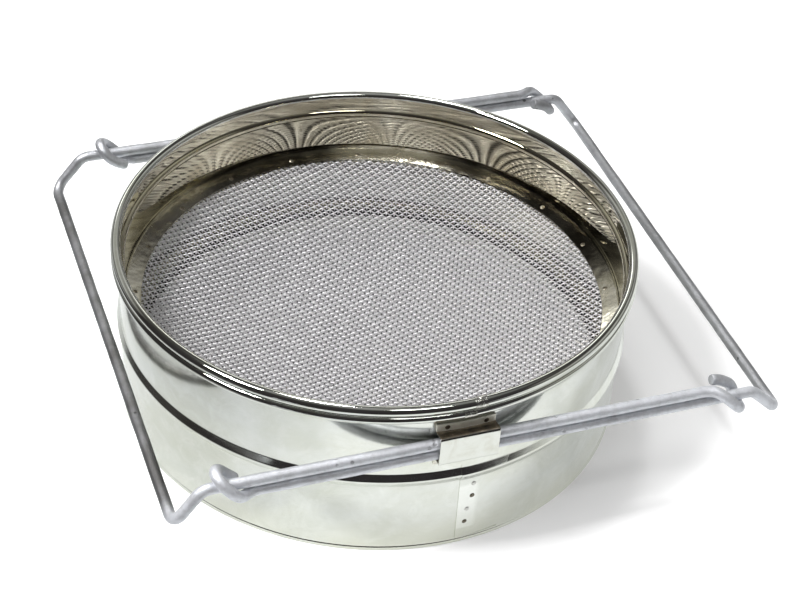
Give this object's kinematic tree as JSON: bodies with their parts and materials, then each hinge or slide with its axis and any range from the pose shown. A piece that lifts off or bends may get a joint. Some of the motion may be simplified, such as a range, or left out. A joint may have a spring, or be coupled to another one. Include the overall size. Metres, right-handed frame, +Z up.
{
  "type": "double sieve strainer",
  "caption": "Round double strainer: a coarse sieve nested in a fine sieve, carried by two telescoping wire handles that rest on a container rim.",
  "frame": {"origin": "centre of the circle on which the lower sieve stands, on the axis of both basins", "axes": "+Z up along the axis of the basins, +X the way the right handle pulls out, -Y the side with the wall seam"},
  "size_m": [0.2835, 0.255, 0.0844],
  "materials": {
    "wall": "polished stainless sheet",
    "ring": "polished stainless strip",
    "mesh": "woven stainless wire",
    "weld": "spot weld marks",
    "bracket": "polished stainless strap",
    "wire": "dull galvanised wire"
  },
  "bodies": {
    "fine_sieve": {"fine_wall": "wall", "fine_retaining_ring": "ring", "fine_mesh": "mesh", "fine_ring_welds": "weld", "fine_seam_welds": "weld", "fine_rim_joint": "weld", "front_bracket": "bracket", "front_bracket_welds": "weld", "back_bracket": "bracket", "back_bracket_welds": "weld"},
    "coarse_sieve": {"coarse_wall": "wall", "coarse_retaining_ring": "ring", "coarse_mesh": "mesh", "coarse_ring_welds": "weld", "coarse_seam_welds": "weld", "coarse_rim_joint": "weld"},
    "left_handle": {"left_handle": "wire"},
    "right_handle": {"right_handle": "wire"}
  },
  "joints": [
    {"name": "left_handle_slide", "type": "slide", "parent": "fine_sieve", "child": "left_handle", "axis": [-1, 0, 0], "range_m": [0, 0.078]},
    {"name": "right_handle_slide", "type": "slide", "parent": "fine_sieve", "child": "right_handle", "axis": [1, 0, 0], "range_m": [0, 0.052]},
    {"name": "coarse_sieve_lift", "type": "slide", "parent": "fine_sieve", "child": "coarse_sieve", "axis": [0, 0, 1], "range_m": [0, 0.1]}
  ]
}
